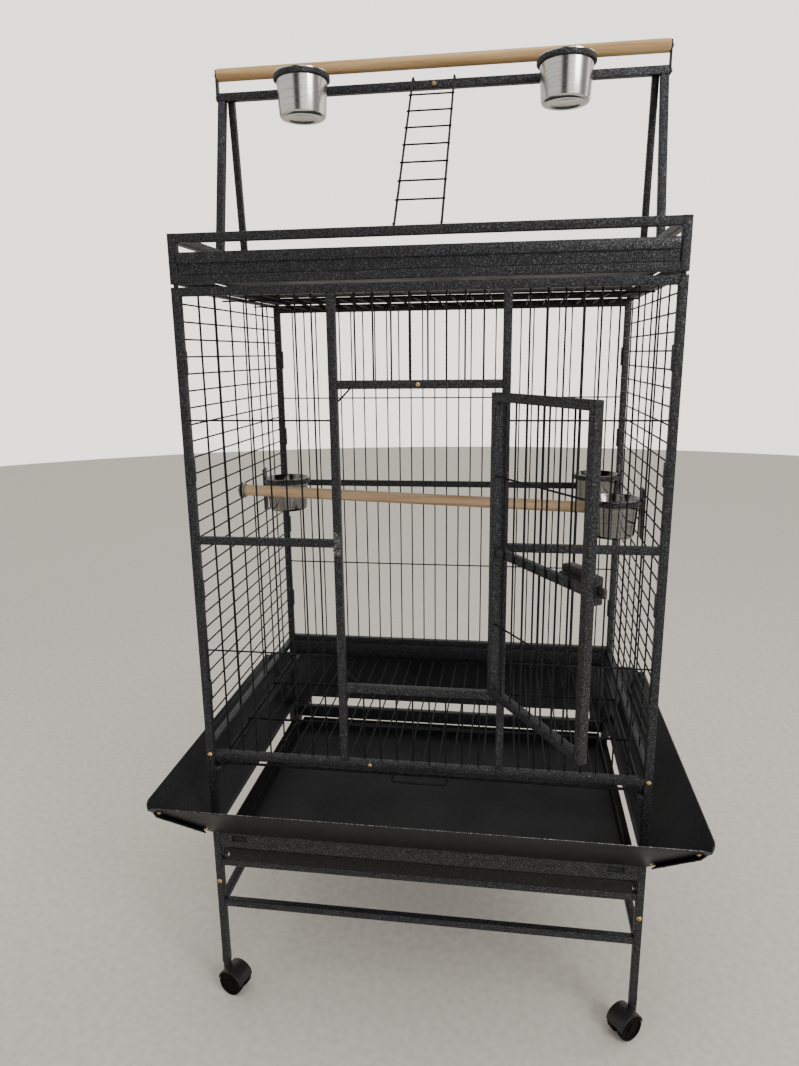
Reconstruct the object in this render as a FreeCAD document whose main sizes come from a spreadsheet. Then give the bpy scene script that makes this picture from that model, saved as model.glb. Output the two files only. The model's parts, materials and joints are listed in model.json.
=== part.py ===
"""Play-top bird cage on casters: welded tube panels with wire grilles, a swing door,
a flared seed guard, pull-out trays and grate, a play stand with perch, cups and ladder.

Millimetres. Origin on the floor under the middle of the cage, +Z up, front towards -Y.
"""
import FreeCAD, Part
import math
import os
import re
import Sketcher

Vector = FreeCAD.Vector
doc = FreeCAD.newDocument("bird_cage")
sheet = doc.addObject("Spreadsheet::Sheet", "sizes")

# Driving dimensions, one cell each.
DRIVING = {
    # cage body
    "cage_width": 813, "cage_depth": 566, "body_top": 1368, "tube": 14, "wire": 3,
    "wire_pitch": 28.4, "side_upright_pitch": 77, "ceiling_pitch": 36,
    "floor_bar_z": 518, "side_bar_z": 535, "back_bar_z": 542, "mid_bar_z": 935, "back_mid_z": 947,
    "sill_z": 667, "head_z": 1203, "door_opening": 268, "side_strip": 3, "side_wire_top": 1371,
    "hook_height": 40, "hook_sheet": 3, "hook_inset": 2, "bolt_head": 10, "bolt_rise": 3,
    # stand and casters
    "leg_foot": 61, "socket_height": 20, "lower_rail_z": 194, "tray_bar_z": 287, "apron_z": 329,
    "apron_height": 31, "slot_length": 30, "slot_height": 11, "slot_inset": 24, "slot_drop": 6,
    "stand_bolt_z": 251, "panel_bolt_z": 526, "bracket": 25,
    "wheel_radius": 25, "wheel_width": 15, "web_width": 10, "hood_wall": 2.5, "hood_gap": 1.2,
    "caster_trail": 18, "stem_radius": 4, "axle_radius": 3, "boss_radius": 8, "wheel_chamfer": 2.5,
    "web_radius": 19, "hood_skirt": 4, "run_side": 0.5,
    # seed guard, trays and grate
    "guard_run": 92, "guard_rise": 103, "guard_corner": 30, "guard_flange": 7, "guard_sheet": 1.2,
    "guard_tab": 45, "guard_slot": 13, "back_floor_z": 506, "back_floor_height": 34,
    "brace_width": 28, "brace_sheet": 2, "brace_length": 115, "brace_start": 22, "guard_screw": 6,
    "tray_height": 26, "tray_sheet": 1.2, "tray_side_gap": 18, "top_tray_height": 34,
    "tray_lip": 5, "tray_lip_height": 17, "slide_gap": 0.3, "side_gap": 1.5,
    "guide_gap": 12.5, "guide_right_gap": 4, "tray_right_gap": 8, "guide_sheet": 1.5,
    "grate_z": 508, "grate_rod": 5, "grate_margin": 4,
    "handle_width": 98, "handle_reach": 32,
    "handle_rod": 4, "handle_bend": 8, "ledge_width": 12, "ledge_height": 10,
    # play top and play stand
    "peg_gap": 5, "peg_radius": 4, "playtop_height": 78,
    "apex_y": -5, "front_foot_y": -65, "rear_foot_y": 36, "crossbar_z": 1722,
    "strut": 12, "strut_sheet": 12, "perch_rise": 20.5, "perch_radius": 11, "plate_sheet": 3,
    "plate_rise": 8, "screw_radius": 4, "screw_rise": 2.5,
    "ladder_width": 74, "ladder_rail": 4, "rung": 3, "rung_first": 0.148, "rung_step": 0.119,
    "rung_overhang": 3, "ladder_bend": 5, "hook_slack": 2.5,
    # cups and their holders
    "cup_height": 72, "cup_rim": 97, "cup_mouth": 91, "cup_base": 82, "cup_wall": 1.2, "rim_height": 3,
    "foot_ring": 50, "foot_step": 2.5, "ring_wall": 4, "ring_height": 8, "ring_gap": 0.5,
    "top_cup_x": 229, "top_cup_reach": 6, "inner_cup_z": 992, "holder_sheet": 3, "holder_width": 24,
    "holder_gap": 1.5,
    "holder_drop": 70, "holder_hook": 22, "left_cup_y": 100, "near_cup_y": -95, "far_cup_y": 200,
    # inner perch
    "bar_perch_radius": 11, "bar_perch_y": -31, "bar_perch_level": 988, "washer_radius": 16,
    "washer_sheet": 2,
    "nut_radius": 5.5, "nut_height": 5, "stud_radius": 2.5,
    # door, hinges and latch
    "door_gap": 5, "door_angle": 122, "knuckle_radius": 4, "pin_radius": 2, "run_gap": 0.05,
    "knuckle_length": 16, "knuckle_gap": 0.4, "leaf_sheet": 1.5, "leaf_width": 14, "hinge_inset": 84,
    "pin_head": 3.2, "pin_head_height": 1.5, "corner_brace": 26,
    "latch_height": 40, "latch_length": 30, "latch_depth": 13, "bolt_depth": 5, "latch_bolt_height": 14,
    "bolt_reach": 14, "bolt_tail": 59, "lever_height": 36, "lever_depth": 20, "lever_length": 48,
    "strike_height": 42, "strike_width": 12, "strike_sheet": 1.5, "strike_ear": 9, "ear_sheet": 3,
    "ear_gap": 1,
}
# Places and spans worked out from the driving dimensions.
DERIVED = {
    "half_width": "cage_width / 2", "half_depth": "cage_depth / 2",
    "inner_x": "half_width - tube", "inner_y": "half_depth - tube",
    "top_bar_z": "body_top - tube", "jamb_x": "door_opening / 2", "jamb_out": "jamb_x + tube",
    "leg_top": "leg_foot + socket_height", "apron_top": "apron_z + apron_height",
    "playtop_z": "body_top + peg_gap", "playtop_top": "playtop_z + playtop_height",
    "rail_z": "playtop_top - tube", "crossbar_top": "crossbar_z + tube",
    "perch_z": "crossbar_top + perch_rise + perch_radius",
    "door_half": "jamb_x - door_gap", "door_low": "sill_z + tube + door_gap",
    "door_high": "head_z - door_gap",
    "hinge_x": "jamb_x - door_gap / 2", "hinge_y": "-half_depth - knuckle_radius",
    "rail_depth": "tube - wire", "ring_outer": "cup_mouth / 2 + ring_gap + ring_wall",
    "top_ring_y": "apex_y - tube / 2 - top_cup_reach - ring_outer",
    "inner_ring_x": "inner_x - holder_sheet - cup_rim / 2 - holder_gap",
    "grate_low": "grate_z - 1.5 * grate_rod", "latch_z": "mid_bar_z + tube / 2",
    "bolt_front": "-half_depth - latch_depth / 2 - bolt_depth / 2",
}
for row, (name, value) in enumerate({**DRIVING, **DERIVED}.items(), start=1):
    sheet.set(f"A{row}", name)
    sheet.set(f"B{row}", str(value) if name in DRIVING else f"={value}")
    sheet.setAlias(f"B{row}", name)
    doc.recompute()
NAMES = set(DRIVING) | set(DERIVED)
NODES = []


def linked(text):
    """An expression in bare size names, pointed at the sheet's cells."""
    return re.sub(r"[a-z_]+", lambda m: "sizes." + m[0] if m[0] in NAMES else m[0], str(text))


def size(text):
    """The value in millimetres or degrees of an expression in size names."""
    return float(sheet.evalExpression(linked(text)))


def bind(obj, **expressions):
    for prop, text in expressions.items():
        obj.setExpression(prop.replace("__", "."), linked(text))
    return obj


def at(obj, x, y, z):
    return bind(obj, Placement__Base__x=x, Placement__Base__y=y, Placement__Base__z=z)


def box(x, y, z, dx, dy, dz):
    """A square tube or plate from its low corner and its three lengths."""
    return at(bind(doc.addObject("Part::Box", "bar"), Length=dx, Width=dy, Height=dz), x, y, z)


TURN = {"x": FreeCAD.Rotation(Vector(0, 1, 0), 90), "y": FreeCAD.Rotation(Vector(1, 0, 0), -90),
        "z": FreeCAD.Rotation()}


def rod(x, y, z, along, length, radius):
    """A round rod from its start point along x, y or z."""
    obj = doc.addObject("Part::Cylinder", "rod")
    obj.Placement = FreeCAD.Placement(Vector(), TURN[along])
    return at(bind(obj, Radius=radius, Height=length), x, y, z)


def boolean(kind, members):
    obj = doc.addObject(kind, "joined")
    if kind == "Part::Cut":
        obj.Base, obj.Tool = members
    else:
        obj.Shapes = members
    return obj


def cut(base, tool):
    return boolean("Part::Cut", [base, tool])


def fuse(*members):
    return boolean("Part::MultiFuse", list(members))


def solid(shape, name="formed"):
    """A piece whose shape is worked out here from the sheet's sizes."""
    obj = doc.addObject("Part::Feature", name)
    obj.Shape = shape
    return obj


def node(label, *members):
    """One named piece: a single solid, or a group of separate like solids."""
    obj = members[0]
    if len(members) > 1:
        obj = doc.addObject("Part::Compound", label)
        obj.Links = list(members)
    obj.Label = label
    NODES.append(obj)
    return obj


def moved(placement, label, *members):
    """One named piece put together in one place and set down in another."""
    obj = doc.addObject("Part::Compound", label)
    obj.Links = list(members)
    obj.Placement = placement
    return node(label, obj)


def spaced(low, span, pitch):
    """Even stations between two faces, about one pitch apart."""
    gaps = round(size(span) / size(pitch))
    return [f"({low}) + {i} * ({span}) / {gaps}" for i in range(1, gaps)]


def bent(points, radius, thickness):
    """A round rod along straight runs joined by tangent bends."""
    edges, start = [], points[0]
    for before, corner, after in zip(points, points[1:], points[2:]):
        into, out = (corner - before).normalize(), (after - corner).normalize()
        back = radius * math.tan(into.getAngle(out) / 2)
        first, last = corner - into * back, corner + out * back
        middle = corner + (out - into).normalize() * (math.hypot(radius, back) - radius)
        edges += [Part.LineSegment(start, first).toShape(), Part.Arc(first, middle, last).toShape()]
        start = last
    edges.append(Part.LineSegment(start, points[-1]).toShape())
    ring = Part.Wire(Part.makeCircle(thickness / 2, points[0], points[1] - points[0]))
    return solid(Part.Wire(edges).makePipeShell([ring], True, False), "bent_rod")


def turned(name, profile):
    """A body turned about its own Z axis from a closed (radius, height) outline."""
    body = doc.addObject("PartDesign::Body", name)
    sketch = body.newObject("Sketcher::SketchObject", name + "_profile")
    planes = {plane.Role: plane for plane in body.Origin.OriginFeatures}
    sketch.AttachmentSupport, sketch.MapMode = [(planes["XZ_Plane"], "")], "FlatFace"
    corners = [Vector(size(r), size(h), 0) for r, h in profile]
    for i, corner in enumerate(corners):
        sketch.addGeometry(Part.LineSegment(corner, corners[(i + 1) % len(corners)]), False)
    count = len(corners)
    for i in range(count):
        sketch.addConstraint(Sketcher.Constraint("Coincident", i, 2, (i + 1) % count, 1))
    for i, (r, h) in enumerate(profile):
        for kind, text, value in (("DistanceX", r, corners[i].x), ("DistanceY", h, corners[i].y)):
            index = sketch.addConstraint(Sketcher.Constraint(kind, -1, 1, i, 1, value))
            sketch.setExpression(f"Constraints[{index}]", linked(text))
    turn = body.newObject("PartDesign::Revolution", name + "_turn")
    turn.Profile = sketch
    turn.ReferenceAxis = (sketch, ["V_Axis"])
    turn.Angle = 360
    return body


# Side panels: two full-height posts that are also the legs, with rails between them, a flat
# strip along the top and a short bracket on each leg under the seed guard.
def side_panel(label, outer, inner):
    """outer and inner are the x of the panel's low face and of the wires' low face."""
    posts = [box(outer, y, "leg_top", "tube", "tube", "body_top - leg_top")
             for y in ("-half_depth", "inner_y")]
    rails = [box(outer, "-inner_y", z, "tube", "2 * inner_y", "tube")
             for z in ("side_bar_z", "tray_bar_z", "lower_rail_z")]
    strip = box(outer, "-inner_y", "body_top - side_strip", "tube", "2 * inner_y", "side_strip")
    brackets = [box(outer, y, "apron_z", "tube", "bracket", "apron_height")
                for y in ("-inner_y", "inner_y - bracket")]
    node("side_frame_" + label, *posts, *rails, strip, *brackets)
    sill = "side_bar_z + tube"
    level = [rod(f"{inner} + wire / 2", "-inner_y", z, "y", "2 * inner_y", "wire / 2")
             for z in spaced(sill, "side_wire_top - side_bar_z - tube", "wire_pitch")]
    upright = [rod(f"{inner} + wire * {'3 / 2' if label == 'right' else '-1 / 2'}", y, sill, "z",
                   "body_top - side_strip - side_bar_z - tube", "wire / 2")
               for y in spaced("-inner_y", "2 * inner_y", "side_upright_pitch")]
    node("side_wires_" + label, *level, *upright)


side_panel("left", "-half_width", "-inner_x - wire")
side_panel("right", "inner_x", "inner_x")

# Front panel: bars between the posts and two uprights that make the doorway.
SPAN = "2 * inner_x"
WING = "inner_x - jamb_out"
node("front_frame",
     box("-inner_x", "-half_depth", "top_bar_z", SPAN, "tube", "tube"),
     box("-inner_x", "-half_depth", "floor_bar_z", SPAN, "tube", "tube"),
     *[box(x, "-half_depth", "floor_bar_z + tube", "tube", "tube", "top_bar_z - floor_bar_z - tube")
       for x in ("-jamb_out", "jamb_x")],
     *[box("-jamb_x", "-half_depth", z, "door_opening", "tube", "tube") for z in ("head_z", "sill_z")],
     *[box(x, "-half_depth", "mid_bar_z", WING, "rail_depth", "tube") for x in ("-inner_x", "jamb_out")])
FRONT_WIRE_Y = "-inner_y - wire / 2"
LEVEL_WIRE_Y = "-inner_y - 3 * wire / 2"
SILL_SPAN = "sill_z - floor_bar_z - tube"
HEAD_SPAN = "top_bar_z - head_z - tube"
front_wires = []
for wing_x in ("-inner_x", "jamb_out"):
    front_wires += [rod(x, FRONT_WIRE_Y, "floor_bar_z + tube", "z", "top_bar_z - floor_bar_z - tube",
                        "wire / 2")
                    for x in spaced(wing_x, WING, "wire_pitch")]
    front_wires += [rod(wing_x, LEVEL_WIRE_Y, z, "x", WING, "wire / 2")
                    for z in ("(mid_bar_z + top_bar_z + tube) / 2", "(mid_bar_z + floor_bar_z + tube) / 2")]
for low, span in (("floor_bar_z + tube", SILL_SPAN), ("head_z + tube", HEAD_SPAN)):
    front_wires += [rod(x, FRONT_WIRE_Y, low, "z", span, "wire / 2")
                    for x in spaced("-jamb_x", "door_opening", "wire_pitch")]
front_wires.append(rod("-jamb_x", LEVEL_WIRE_Y, f"floor_bar_z + tube + ({SILL_SPAN}) / 2", "x",
                       "door_opening", "wire / 2"))
node("front_wires", *front_wires)

# Back panel: three bars, with full-height wires behind the middle one.
node("back_frame",
     box("-inner_x", "inner_y", "top_bar_z", SPAN, "tube", "tube"),
     box("-inner_x", "inner_y", "back_bar_z", SPAN, "tube", "tube"),
     box("-inner_x", "inner_y", "back_floor_z", SPAN, "tube", "back_floor_height"),
     box("-inner_x", "inner_y", "back_mid_z", SPAN, "rail_depth", "tube"))
BACK_SPAN = "top_bar_z - back_bar_z - tube"
node("back_wires",
     *[rod(x, "half_depth - wire / 2", "back_bar_z + tube", "z", BACK_SPAN, "wire / 2")
       for x in spaced("-inner_x", SPAN, "wire_pitch")],
     *[rod("-inner_x", "half_depth - 3 * wire / 2", z, "x", SPAN, "wire / 2")
       for z in ("(back_bar_z + tube + back_mid_z) / 2", "(back_mid_z + tube + top_bar_z) / 2")])

# Ceiling: wires from front to back with two cross wires welded under them.
node("ceiling_wires",
     *[rod(x, "-inner_y", "body_top - tube / 2", "y", "2 * inner_y", "wire / 2")
       for x in spaced("-inner_x", SPAN, "ceiling_pitch")],
     *[rod("-inner_x", y, "body_top - tube / 2 - wire", "x", SPAN, "wire / 2")
       for y in spaced("-inner_y", "2 * inner_y", "2 * inner_y / 3")])

# Hook plates on the posts, where the front and back panels hang on the side panels.
HOOK_LEVELS = [f"floor_bar_z + tube + {share} * (top_bar_z - floor_bar_z - tube) - hook_height / 2"
               for share in (0.15, 0.385, 0.65, 0.87)]
node("panel_hooks",
     *[box(x, y, z, "hook_sheet", "tube - 2 * hook_inset", "hook_height")
       for x in ("-inner_x", "inner_x - hook_sheet") for y in ("-half_depth", "inner_y + hook_inset")
       for z in HOOK_LEVELS])

# Brass bolt heads on the posts, one pair per panel joint, and two screws in the front bars.
node("frame_bolts",
     *[rod(f"{side} * (half_width - tube / 2)", y, z, "y", "bolt_rise", "bolt_head / 2")
       for side in (-1, 1) for y in ("-half_depth - bolt_rise", "half_depth")
       for z in ("panel_bolt_z", "stand_bolt_z")],
     *[rod(x, "-half_depth - screw_rise", f"{z} + tube / 2", "y", "screw_rise", "screw_radius")
       for x, z in (("0", "head_z"), ("-93", "floor_bar_z"))])


# Stand: apron, tray bar and lower rail between the legs, front and back; the front apron has
# two slots. Upright guide sheets beside the tray, and ledges for the grate.
def stand_end(y):
    return [box("-inner_x", y, z, SPAN, "tube", height)
            for z, height in (("apron_z", "apron_height"), ("tray_bar_z", "tube"), ("lower_rail_z", "tube"))]


apron, *front_rails = stand_end("-half_depth")
slots = [box(x, "-half_depth - tube", "apron_top - slot_drop - slot_height", "slot_length", "3 * tube",
             "slot_height")
         for x in ("-inner_x + slot_inset", "inner_x - slot_inset - slot_length")]
node("stand_front", cut(apron, fuse(*slots)), *front_rails)
node("stand_back", *stand_end("inner_y"))
node("tray_guides",
     *[box(x, "-inner_y", "tray_bar_z + tube", "guide_sheet", "2 * inner_y", "apron_top - tray_bar_z - tube")
       for x in ("-inner_x + guide_gap - guide_sheet", "inner_x - guide_right_gap")])
node("grate_ledges",
     *[box(x, "-half_depth", "grate_low - slide_gap - ledge_height", "ledge_width", "cage_depth",
           "ledge_height")
       for x in ("-inner_x", "inner_x - ledge_width")])

# Casters: a stem socket under each leg, a hooded fork that swivels in it, two wheels on an axle.
CORNERS = {"front_left": (-1, -1, -18), "front_right": (1, -1, -143),
           "back_left": (-1, 1, -52), "back_right": (1, 1, -128)}
node("caster_sockets",
     *[cut(box(f"{sx} * (half_width - tube / 2) - tube / 2", f"{sy} * (half_depth - tube / 2) - tube / 2",
               "leg_foot", "tube", "tube", "socket_height"),
           rod(f"{sx} * (half_width - tube / 2)", f"{sy} * (half_depth - tube / 2)", "leg_foot - tube", "z",
               "socket_height + 2 * tube", "stem_radius + run_gap"))
       for sx, sy, heading in CORNERS.values()])
HOOD = "wheel_radius + hood_gap + hood_wall"
HALF = "web_width / 2 + run_side + wheel_width"


def caster(label, sx, sy, heading):
    """heading is the direction of the trail seen from above."""
    axle = "wheel_radius"
    hood = cut(rod("caster_trail", f"-({HALF})", axle, "y", f"2 * ({HALF})", HOOD),
               box(f"caster_trail - 2 * ({HOOD})", f"-2 * ({HALF})", f"{axle} - 2 * ({HOOD}) + hood_skirt",
                   f"4 * ({HOOD})", f"4 * ({HALF})", f"2 * ({HOOD})"))
    web = rod("caster_trail", "-web_width / 2", axle, "y", "web_width", "web_radius")
    boss = rod("0", "0", f"{axle} + hood_skirt", "z", f"leg_foot - slide_gap - {axle} - hood_skirt",
               "boss_radius")
    stem = rod("0", "0", f"{axle} + hood_skirt", "z", f"leg_top - slide_gap - {axle} - hood_skirt",
               "stem_radius")
    wells = [rod("caster_trail", y, axle, "y", f"2 * ({HALF})", "wheel_radius + hood_gap")
             for y in ("web_width / 2", f"-web_width / 2 - 2 * ({HALF})")]
    bore = rod("caster_trail", f"-({HALF})", axle, "y", f"2 * ({HALF})", "axle_radius + run_gap")
    stand = FreeCAD.Placement(
        Vector(sx * size("half_width - tube / 2"), sy * size("half_depth - tube / 2"), 0),
        FreeCAD.Rotation(Vector(0, 0, 1), heading))
    moved(stand, "caster_fork_" + label, cut(fuse(hood, web, boss, stem), fuse(*wells, bore)))
    spool = [rod("caster_trail", "-web_width / 2 - run_side", axle, "y", "web_width + 2 * run_side",
                 "axle_radius")]
    for side, turn in ((-1, 90), (1, -90)):
        wheel = turned("wheel", [("0", "0"), ("wheel_radius - wheel_chamfer", "0"),
                                 ("wheel_radius", "wheel_chamfer"),
                                 ("wheel_radius", "wheel_width - wheel_chamfer"),
                                 ("wheel_radius - wheel_chamfer", "wheel_width"), ("0", "wheel_width")])
        wheel.Placement = FreeCAD.Placement(Vector(), FreeCAD.Rotation(Vector(1, 0, 0), turn))
        spool.append(at(wheel, "caster_trail", f"{side} * (web_width / 2 + run_side)", axle))
    moved(stand, "caster_wheels_" + label, *spool)


for corner, (across, along, heading) in CORNERS.items():
    caster(corner, across, along, heading)


# Seed guard: four sheets sloping up and out from the apron, mitred, the rim's corners rounded.
# The back sheet stands on a tab at each end, with a long gap between them.
def guard(label, half, out, quarter):
    """Built along X facing -Y, then turned by quarter turns about the cage's middle."""
    run, rise = size("guard_run"), size("guard_rise")
    sheet_t, corner = size("guard_sheet"), size("guard_corner")
    foot = size("apron_top + guard_sheet")

    def on_slope(x, reach):
        return Vector(x, -out - reach, foot + rise * reach / run)

    def rim_arc(side, turn):
        return on_slope(side * (half + run - corner + corner * math.sin(turn)),
                        run - corner + corner * math.cos(turn))

    steps = (0, math.pi / 8, math.pi / 4)
    left, right = ([rim_arc(side, turn) for turn in steps] for side in (-1, 1))
    line = Part.LineSegment
    outline = [line(on_slope(-half, 0), left[2]), Part.Arc(left[2], left[1], left[0]),
               line(left[0], right[0]),
               Part.Arc(*right), line(right[2], on_slope(half, 0)),
               line(on_slope(half, 0), on_slope(-half, 0))]
    slope = math.atan2(rise, run)
    under = Vector(0, -math.sin(slope), -math.cos(slope))
    panel = Part.Face(Part.Wire([edge.toShape() for edge in outline])).extrude(under * sheet_t)
    reach = sheet_t * math.sin(slope)
    inset = half - size("tube + slide_gap")
    flange = Part.makeBox(2 * inset, size("guard_flange") + reach, sheet_t,
                          Vector(-inset, -out - reach, foot - sheet_t))
    sheet_form = panel.fuse(flange).removeSplitter()
    if label == "back":
        open_half = half - size("guard_tab")
        sheet_form = sheet_form.cut(Part.makeBox(2 * open_half, 2 * run, size("guard_slot") + sheet_t,
                                                 Vector(-open_half, -out - run, foot - sheet_t)))
    piece = node("seed_guard_" + label, solid(sheet_form))
    piece.Placement = FreeCAD.Placement(Vector(), FreeCAD.Rotation(Vector(0, 0, 1), 90 * quarter))


guard("front", size("half_width"), size("half_depth"), 0)
guard("right", size("half_depth"), size("half_width"), 1)
guard("back", size("half_width"), size("half_depth"), 2)
guard("left", size("half_depth"), size("half_width"), 3)

# Corner braces screwed under the guard's mitres.
braces, brace_screws = [], []
for sx in (-1, 1):
    for sy in (-1, 1):
        slope = math.atan2(size("guard_rise"), size("guard_run"))
        ridge = Vector(sx * size("guard_run"), sy * size("guard_run"), size("guard_rise")).normalize()
        across = Vector(-sy, sx, 0).normalize()
        below = Vector(sx * math.sin(slope), sy * math.sin(slope), -2 * math.cos(slope)).normalize()
        drop = size("guard_sheet") * Vector(sx * math.sin(slope), 0, -math.cos(slope)).dot(below)
        foot = Vector(sx * size("half_width"), sy * size("half_depth"), size("apron_top + guard_sheet"))
        turn = FreeCAD.Rotation(ridge, across, ridge.cross(across), "XYZ")
        face = foot + below * drop
        up = 1 if ridge.cross(across).dot(below) > 0 else -1
        strip = bind(doc.addObject("Part::Box", "brace"), Length="brace_length", Width="brace_width",
                     Height="brace_sheet")
        low = face + ridge * size("brace_start") - across * size("brace_width / 2")
        strip.Placement = FreeCAD.Placement(low if up > 0 else low + below * size("brace_sheet"), turn)
        braces.append(strip)
        for share, offset in ((0.2, -1), (0.2, 1), (0.8, -1), (0.8, 1)):
            head = bind(doc.addObject("Part::Cylinder", "screw"), Radius="guard_screw / 2",
                        Height="screw_rise")
            spot = (face + ridge * (size("brace_start") + share * size("brace_length"))
                    + across * (offset * size("brace_width / 4")) + below * size("brace_sheet"))
            head.Placement = FreeCAD.Placement(spot, FreeCAD.Rotation(Vector(0, 0, 1), below))
            brace_screws.append(head)
node("guard_braces", *braces)
node("guard_screws", *brace_screws)


# Droppings tray under the grate and toy tray of the play top: folded pans that slide out.
def pan(x, y, z, dx, dy, height):
    return cut(box(x, y, z, dx, dy, height),
               box(f"{x} + tray_sheet", f"{y} + tray_sheet", f"{z} + tray_sheet", f"{dx} - 2 * tray_sheet",
                   f"{dy} - 2 * tray_sheet", height))


PAN_DEPTH = "cage_depth - tube"
node("bottom_tray", pan("-inner_x + tray_side_gap", "-half_depth", "tray_bar_z + tube + slide_gap",
                        "2 * inner_x - tray_side_gap - tray_right_gap", PAN_DEPTH, "tray_height"))
TOP_PAN = "playtop_z + tube + slide_gap"
node("top_tray", fuse(
    pan("-inner_x + side_gap", "-half_depth", TOP_PAN, "2 * (inner_x - side_gap)", PAN_DEPTH,
        "top_tray_height"),
    box("-inner_x + side_gap", "-half_depth - tray_lip", f"{TOP_PAN} + top_tray_height - tray_lip_height",
        "2 * (inner_x - side_gap)", "tray_lip", "tray_lip_height")))

# Grate: two runners, cross rods on them, wires on the cross rods and a pull handle.
GRATE_HALF = "inner_x - side_gap"
GRATE_FRONT = "-half_depth + grate_margin"
GRATE_SPAN = "cage_depth - tube - 2 * grate_margin"
GRATE_TOP = "grate_z + grate_rod / 2"
runners = [rod(f"{side} * ({GRATE_HALF} - grate_rod / 2)", GRATE_FRONT, "grate_z - grate_rod", "y",
               GRATE_SPAN,
               "grate_rod / 2") for side in (-1, 1)]
cross_rods = [rod(f"-({GRATE_HALF})",
                  f"{GRATE_FRONT} + grate_rod / 2 + {share} * ({GRATE_SPAN} - grate_rod)",
                  "grate_z", "x", f"2 * ({GRATE_HALF})",
                  "grate_rod / 2") for share in ("0", "1 / 3", "2 / 3", "1")]
grate_wires = [rod(x, GRATE_FRONT, f"{GRATE_TOP} + wire / 2", "y", GRATE_SPAN, "wire / 2")
               for x in spaced("-inner_x", SPAN, "wire_pitch")]
pull_x, pull_y = size("handle_width / 2"), size(GRATE_FRONT)
pull_z = size(f"{GRATE_TOP} + handle_rod / 2")
pull = bent([Vector(-pull_x, pull_y + size("handle_reach"), pull_z),
             Vector(-pull_x, pull_y - size("handle_reach"), pull_z),
             Vector(pull_x, pull_y - size("handle_reach"), pull_z),
             Vector(pull_x, pull_y + size("handle_reach"), pull_z)],
            size("handle_bend"), size("handle_rod"))
node("grate", *runners, *cross_rods, *grate_wires, pull)

# Play top: an open frame on four pegs, its upper rail a guard round the toy tray.
CORNER_X, CORNER_Y = ("-half_width", "inner_x"), ("-half_depth", "inner_y")
node("playtop_frame",
     *[box(x, y, "playtop_z", "tube", "tube", "playtop_height") for x in CORNER_X for y in CORNER_Y],
     *[box("-inner_x", y, z, SPAN, "tube", "tube") for y in CORNER_Y for z in ("playtop_z", "rail_z")],
     *[box(x, "-inner_y", z, "tube", "2 * inner_y", "tube") for x in CORNER_X
       for z in ("playtop_z", "rail_z")],
     *[rod(f"{x} + tube / 2", f"{y} + tube / 2", "body_top", "z", "peg_gap", "peg_radius")
       for x in CORNER_X for y in CORNER_Y])


# Play stand: leaning legs on the side guard rails under a crossbar, braced by flat struts inside.
def leaning(x, width, outline):
    """A bar of the given width in x with the given closed (y, z) outline."""
    corners = [Vector(size(x), y, z) for y, z in outline]
    return solid(Part.Face(Part.makePolygon(corners + corners[:1])).extrude(Vector(size(width), 0, 0)),
                 "leaning_bar")


rail_top, bar_low, apex = size("playtop_top"), size("crossbar_z"), size("apex_y")
front_foot, rear_foot = size("front_foot_y"), size("rear_foot_y")
leg_half = size("tube") / 2 / math.cos(math.atan2(apex - front_foot, bar_low - rail_top))
leg_outline = [(front_foot - leg_half, rail_top), (front_foot + leg_half, rail_top),
               (apex + leg_half, bar_low), (apex - leg_half, bar_low)]
bar_back, strut_top, strut_low = apex + size("tube / 2"), size("crossbar_z + tube / 2"), size("rail_z")
strut_outline = [(rear_foot - size("strut / 2"), strut_low), (rear_foot + size("strut / 2"), strut_low),
                 (bar_back + size("strut"), strut_top), (bar_back, strut_top), (bar_back, bar_low)]
node("playstand_legs", *[leaning(x, "tube", leg_outline) for x in CORNER_X])
node("playstand_struts", *[leaning(x, "strut_sheet", strut_outline)
                           for x in ("-inner_x", "inner_x - strut_sheet")])
node("playstand_crossbar", box("-half_width", "apex_y - tube / 2", "crossbar_z", "cage_width", "tube",
                               "tube"))
node("perch_plates",
     *[box(x, "apex_y - tube / 2", "crossbar_z", "plate_sheet", "tube", "perch_z + plate_rise - crossbar_z")
       for x in ("-half_width - plate_sheet", "half_width")])
node("top_perch", rod("-half_width", "apex_y", "perch_z", "x", "cage_width", "perch_radius"))
node("stand_screws",
     *[rod(x, "apex_y", z, "x", "screw_rise", "screw_radius")
       for x in ("-half_width - plate_sheet - screw_rise", "half_width + plate_sheet")
       for z in ("perch_z", "crossbar_z + tube / 2")],
     *[rod(x, "rear_foot_y", "rail_z + tube / 2", "x", "screw_rise", "screw_radius")
       for x in ("-inner_x + strut_sheet", "inner_x - strut_sheet - screw_rise")],
     rod("0", "apex_y - tube / 2 - screw_rise", "crossbar_z + tube / 2", "y", "screw_rise", "screw_radius"))


# Cups: tapered pans with a turned-out rim and a raised ring in the base, in ring holders.
def cup(label, x, y, ring_top):
    depth = "cup_height - rim_height"
    floor = f"-({depth})"
    body = turned(label, [
        ("0", f"{floor} + foot_step"), ("foot_ring / 2", f"{floor} + foot_step"),
        ("foot_ring / 2 + foot_step", floor),
        ("cup_base / 2", floor), ("cup_mouth / 2", "0"), ("cup_rim / 2", "0"), ("cup_rim / 2", "rim_height"),
        ("cup_mouth / 2 - cup_wall", "rim_height"), ("cup_base / 2 - cup_wall", f"{floor} + cup_wall"),
        ("foot_ring / 2 + foot_step", f"{floor} + cup_wall"),
        ("foot_ring / 2", f"{floor} + foot_step + cup_wall"),
        ("0", f"{floor} + foot_step + cup_wall")])
    node(label, at(body, x, y, f"{ring_top} + slide_gap"))


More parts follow.
